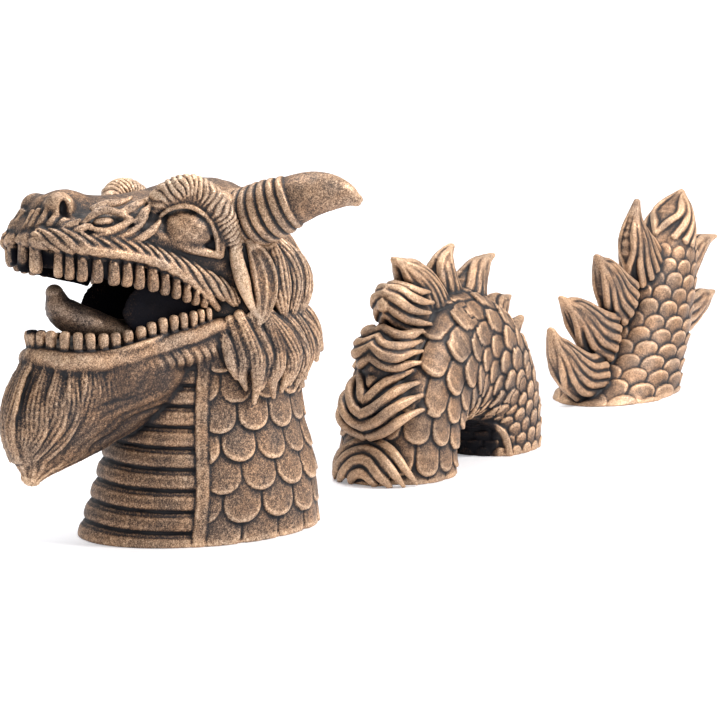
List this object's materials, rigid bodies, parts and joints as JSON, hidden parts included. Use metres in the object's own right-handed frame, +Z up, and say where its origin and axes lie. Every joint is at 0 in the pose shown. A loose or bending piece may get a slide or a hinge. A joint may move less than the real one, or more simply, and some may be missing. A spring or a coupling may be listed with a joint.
{
  "type": "dragon garden sculpture set",
  "caption": "Free-standing dragon sculpture in separate hollow castings: open-mouthed horned head on its neck, arched scaled hump and upright tail.",
  "frame": {"origin": "on the ground plane, at the bottom centre of the whole set's bounding box", "axes": "+X along the body line from the head to the tail, +Z up; the camera side of the set faces -Y and the snout is turned 25.5 degrees clockwise from -X, seen from above"},
  "size_m": [1.2794, 0.2598, 0.3283],
  "materials": {
    "head_finish": "granular cast resin, dark brown wash with gold dry-brushed edges",
    "horn_finish": "granular cast resin, brown with pale gold edges",
    "tongue_finish": "granular cast resin, dark charcoal brown with faint gold",
    "hump_finish": "granular cast resin, dark brown wash with gold dry-brushed scale edges and fin tips",
    "tail_finish": "granular cast resin, dark brown wash with gold dry-brushed scale edges and fin tips"
  },
  "bodies": {
    "head": {"head_casting": "head_finish", "horn_left": "horn_finish", "horn_right": "horn_finish", "tongue": "tongue_finish"},
    "hump": {"hump_casting": "hump_finish"},
    "tail": {"tail_casting": "tail_finish"}
  },
  "joints": [
    {"name": "hump_spacing", "type": "slide", "parent": "head", "child": "hump", "axis": [1, 0, 0], "range_m": [-0.05, 0.25]},
    {"name": "tail_spacing", "type": "slide", "parent": "hump", "child": "tail", "axis": [1, 0, 0], "range_m": [-0.06, 0.25]}
  ]
}
